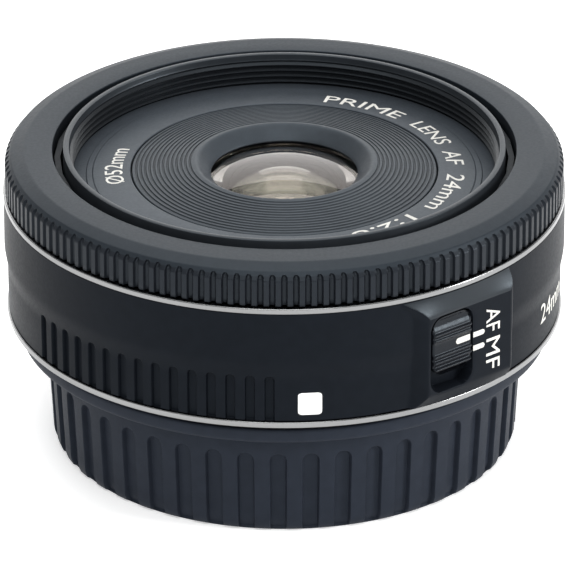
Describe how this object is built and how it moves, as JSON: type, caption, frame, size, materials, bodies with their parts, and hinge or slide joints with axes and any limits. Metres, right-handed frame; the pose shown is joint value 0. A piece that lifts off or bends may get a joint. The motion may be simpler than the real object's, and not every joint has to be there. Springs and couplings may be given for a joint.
{
  "type": "prime camera lens",
  "caption": "Slim autofocus prime lens with ribbed focus ring, filter thread, AF/MF slide switch and push-out optics, standing on its ribbed rear cap.",
  "frame": {"origin": "centre of the rear cap's resting face", "axes": "+Z along the optical axis towards the front glass, -Y towards the white mount index, +X to the side of the AF/MF switch"},
  "size_m": [0.0682, 0.0682, 0.0381],
  "materials": {
    "casing_plastic": "fine-textured black moulded plastic",
    "ring_plastic": "satin black moulded plastic",
    "tube_plastic": "satin black, threaded",
    "face_plastic": "satin charcoal",
    "baffle_plastic": "fine concentric grooves, satin black",
    "cap_plastic": "satin black with a slight blue cast",
    "knob_plastic": "satin black, ridged",
    "inner_plastic": "matt black",
    "bright_trim": "bright turned ring",
    "mount_metal": "satin plated metal",
    "aluminium_tube": "machined",
    "motor_steel": "plain",
    "gear_brass": "plain",
    "contact_gold": "gold plated",
    "white_mark": "white inlay",
    "circuit_board": "solder mask green",
    "flex_film": "amber film",
    "iris_plate": "blackened",
    "blade_black": "blackened steel leaf",
    "coated_glass": "polished, coated"
  },
  "bodies": {
    "body": {"barrel_shell": "casing_plastic", "front_trim_ring": "bright_trim", "rear_trim_ring": "bright_trim", "index_mark": "white_mark", "mount_bayonet": "mount_metal", "mount_screw_1": "mount_metal", "mount_screw_2": "mount_metal", "mount_screw_3": "mount_metal", "mount_screw_4": "mount_metal", "fixed_barrel": "inner_plastic", "guide_tube": "aluminium_tube", "main_pcb": "circuit_board", "flex_cable": "flex_film", "contact_block": "inner_plastic", "contact_pin_1": "contact_gold", "contact_pin_2": "contact_gold", "contact_pin_3": "contact_gold", "contact_pin_4": "contact_gold", "contact_pin_5": "contact_gold", "contact_pin_6": "contact_gold", "contact_pin_7": "contact_gold", "rear_baffle": "inner_plastic", "focus_motor": "motor_steel", "motor_plate": "motor_steel", "idler_axle": "motor_steel", "switch_board": "circuit_board", "focus_sensor": "inner_plastic"},
    "focus_grip": {"focus_ring": "ring_plastic", "encoder_comb": "inner_plastic"},
    "cam": {"cam_ring": "aluminium_tube", "focus_gear_sector": "gear_brass"},
    "idler": {"idler_gear": "gear_brass"},
    "drive_pinion": {"motor_pinion": "gear_brass"},
    "optics": {"lens_barrel": "tube_plastic", "cam_pin_1": "motor_steel", "cam_pin_2": "motor_steel", "cam_pin_3": "motor_steel", "name_ring": "face_plastic", "front_baffle": "baffle_plastic", "element_1": "coated_glass", "element_2": "coated_glass", "element_3": "coated_glass", "element_4": "coated_glass", "element_5": "coated_glass", "element_6": "coated_glass", "front_cell": "inner_plastic", "rear_cell": "inner_plastic", "diaphragm_base": "iris_plate", "aperture_motor": "motor_steel"},
    "iris_ring": {"diaphragm_ring": "iris_plate"},
    "iris_pinion": {"aperture_pinion": "gear_brass"},
    "af_switch": {"af_mf_knob": "knob_plastic"},
    "cap": {"rear_cap": "cap_plastic"},
    "iris_blade_1": {"blade_1": "blade_black"},
    "iris_blade_2": {"blade_2": "blade_black"},
    "iris_blade_3": {"blade_3": "blade_black"},
    "iris_blade_4": {"blade_4": "blade_black"},
    "iris_blade_5": {"blade_5": "blade_black"},
    "iris_blade_6": {"blade_6": "blade_black"},
    "iris_blade_7": {"blade_7": "blade_black"}
  },
  "joints": [
    {"name": "focus_ring_turn", "type": "hinge", "parent": "body", "child": "focus_grip", "pos_m": [0, 0, 0.035], "axis": [0, 0, 1], "continuous": true},
    {"name": "cam_turn", "type": "hinge", "parent": "body", "child": "cam", "pos_m": [0, 0, 0.0232], "axis": [0, 0, 1], "range_deg": [0, 75]},
    {"name": "optics_extend", "type": "slide", "parent": "body", "child": "optics", "axis": [0, 0, 1], "range_m": [0, 0.0065]},
    {"name": "idler_turn", "type": "hinge", "parent": "body", "child": "idler", "pos_m": [0.00767, -0.02108, 0.0204], "axis": [0, 0, 1], "range_deg": [-345.5, 0]},
    {"name": "drive_pinion_turn", "type": "hinge", "parent": "body", "child": "drive_pinion", "pos_m": [0.01301, -0.01827, 0.0204], "axis": [0, 0, 1], "range_deg": [0, 690.5]},
    {"name": "iris_ring_turn", "type": "hinge", "parent": "optics", "child": "iris_ring", "pos_m": [0, 0, 0.0289], "axis": [0, 0, 1], "range_deg": [0, 4.6]},
    {"name": "iris_pinion_turn", "type": "hinge", "parent": "optics", "child": "iris_pinion", "pos_m": [0.02103, 0, 0.0289], "axis": [0, 0, 1], "range_deg": [-60.5, 0]},
    {"name": "af_mf_slide", "type": "slide", "parent": "body", "child": "af_switch", "axis": [0, 0, -1], "range_m": [0, 0.0021]},
    {"name": "rear_cap_off", "type": "slide", "parent": "body", "child": "cap", "axis": [0, 0, -1], "range_m": [0, 0.03]},
    {"name": "blade_1_swing", "type": "hinge", "parent": "optics", "child": "iris_blade_1", "pos_m": [0, -0.0086, 0.02695], "axis": [0, 0, 1], "range_deg": [0, 30]},
    {"name": "blade_2_swing", "type": "hinge", "parent": "optics", "child": "iris_blade_2", "pos_m": [0.00672, -0.00536, 0.02715], "axis": [0, 0, 1], "range_deg": [0, 30]},
    {"name": "blade_3_swing", "type": "hinge", "parent": "optics", "child": "iris_blade_3", "pos_m": [0.00838, 0.00191, 0.02735], "axis": [0, 0, 1], "range_deg": [0, 30]},
    {"name": "blade_4_swing", "type": "hinge", "parent": "optics", "child": "iris_blade_4", "pos_m": [0.00373, 0.00775, 0.02755], "axis": [0, 0, 1], "range_deg": [0, 30]},
    {"name": "blade_5_swing", "type": "hinge", "parent": "optics", "child": "iris_blade_5", "pos_m": [-0.00373, 0.00775, 0.02775], "axis": [0, 0, 1], "range_deg": [0, 30]},
    {"name": "blade_6_swing", "type": "hinge", "parent": "optics", "child": "iris_blade_6", "pos_m": [-0.00838, 0.00191, 0.02795], "axis": [0, 0, 1], "range_deg": [0, 30]},
    {"name": "blade_7_swing", "type": "hinge", "parent": "optics", "child": "iris_blade_7", "pos_m": [-0.00672, -0.00536, 0.02815], "axis": [0, 0, 1], "range_deg": [0, 30]}
  ],
  "couplings": [
    {"joint": "optics_extend", "follows": "cam_turn", "m_per_rad": 0.0049656},
    {"joint": "idler_turn", "follows": "cam_turn", "ratio": -4.6},
    {"joint": "drive_pinion_turn", "follows": "cam_turn", "ratio": 9.2},
    {"joint": "iris_pinion_turn", "follows": "iris_ring_turn", "ratio": -13},
    {"joint": "blade_1_swing", "follows": "iris_ring_turn", "ratio": 6.5},
    {"joint": "blade_2_swing", "follows": "iris_ring_turn", "ratio": 6.5},
    {"joint": "blade_3_swing", "follows": "iris_ring_turn", "ratio": 6.5},
    {"joint": "blade_4_swing", "follows": "iris_ring_turn", "ratio": 6.5},
    {"joint": "blade_5_swing", "follows": "iris_ring_turn", "ratio": 6.5},
    {"joint": "blade_6_swing", "follows": "iris_ring_turn", "ratio": 6.5},
    {"joint": "blade_7_swing", "follows": "iris_ring_turn", "ratio": 6.5}
  ]
}
